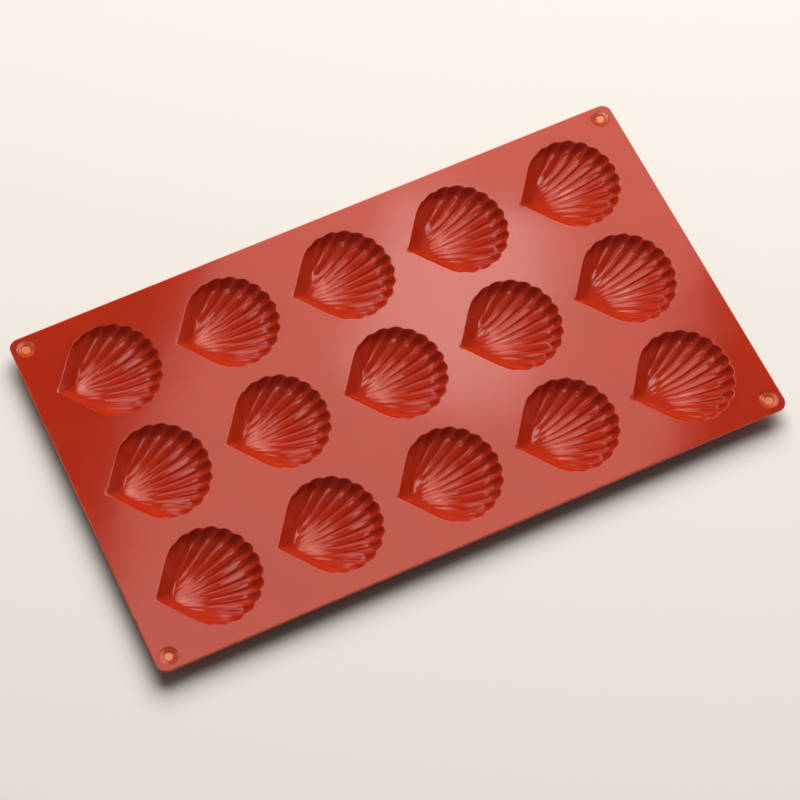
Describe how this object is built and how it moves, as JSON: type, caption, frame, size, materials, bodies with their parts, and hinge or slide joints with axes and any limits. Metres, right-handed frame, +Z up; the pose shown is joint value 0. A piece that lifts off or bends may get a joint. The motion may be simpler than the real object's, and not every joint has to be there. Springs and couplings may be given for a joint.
{
  "type": "silicone shell cake mould",
  "caption": "Flexible flat silicone baking mould with a grid of fluted shell-shaped cups hanging under a thin deck, and a recessed eyelet in each corner; it folds between the columns of cups.",
  "frame": {"origin": "under the middle of the deck, on the plane that the bellies of the cups stand on", "axes": "+X along the long side of the deck, away from the shells' tips; +Z up, out of the cups' mouths"},
  "size_m": [0.295, 0.175, 0.01],
  "materials": {
    "silicone": "smooth satin silicone",
    "thin_silicone": "smooth satin silicone, thin enough to look paler"
  },
  "bodies": {
    "column_1": {"deck_strip_1": "silicone", "shell_cup_r1_c1": "silicone", "shell_cup_r2_c1": "silicone", "shell_cup_r3_c1": "silicone", "corner_eyelet_1": "thin_silicone", "corner_eyelet_2": "thin_silicone"},
    "column_2": {"deck_strip_2": "silicone", "shell_cup_r1_c2": "silicone", "shell_cup_r2_c2": "silicone", "shell_cup_r3_c2": "silicone"},
    "column_3": {"deck_strip_3": "silicone", "shell_cup_r1_c3": "silicone", "shell_cup_r2_c3": "silicone", "shell_cup_r3_c3": "silicone"},
    "column_4": {"deck_strip_4": "silicone", "shell_cup_r1_c4": "silicone", "shell_cup_r2_c4": "silicone", "shell_cup_r3_c4": "silicone"},
    "column_5": {"deck_strip_5": "silicone", "shell_cup_r1_c5": "silicone", "shell_cup_r2_c5": "silicone", "shell_cup_r3_c5": "silicone", "corner_eyelet_3": "thin_silicone", "corner_eyelet_4": "thin_silicone"}
  },
  "joints": [
    {"name": "fold_2_3", "type": "hinge", "parent": "column_3", "child": "column_2", "pos_m": [-0.028, 0, 0.0093], "axis": [0, 1, 0], "range_deg": [-30, 30], "stiffness_Nm_per_rad": 0.02},
    {"name": "fold_1_2", "type": "hinge", "parent": "column_2", "child": "column_1", "pos_m": [-0.084, 0, 0.0093], "axis": [0, 1, 0], "range_deg": [-30, 30], "stiffness_Nm_per_rad": 0.02},
    {"name": "fold_3_4", "type": "hinge", "parent": "column_3", "child": "column_4", "pos_m": [0.028, 0, 0.0093], "axis": [0, -1, 0], "range_deg": [-30, 30], "stiffness_Nm_per_rad": 0.02},
    {"name": "fold_4_5", "type": "hinge", "parent": "column_4", "child": "column_5", "pos_m": [0.084, 0, 0.0093], "axis": [0, -1, 0], "range_deg": [-30, 30], "stiffness_Nm_per_rad": 0.02}
  ]
}
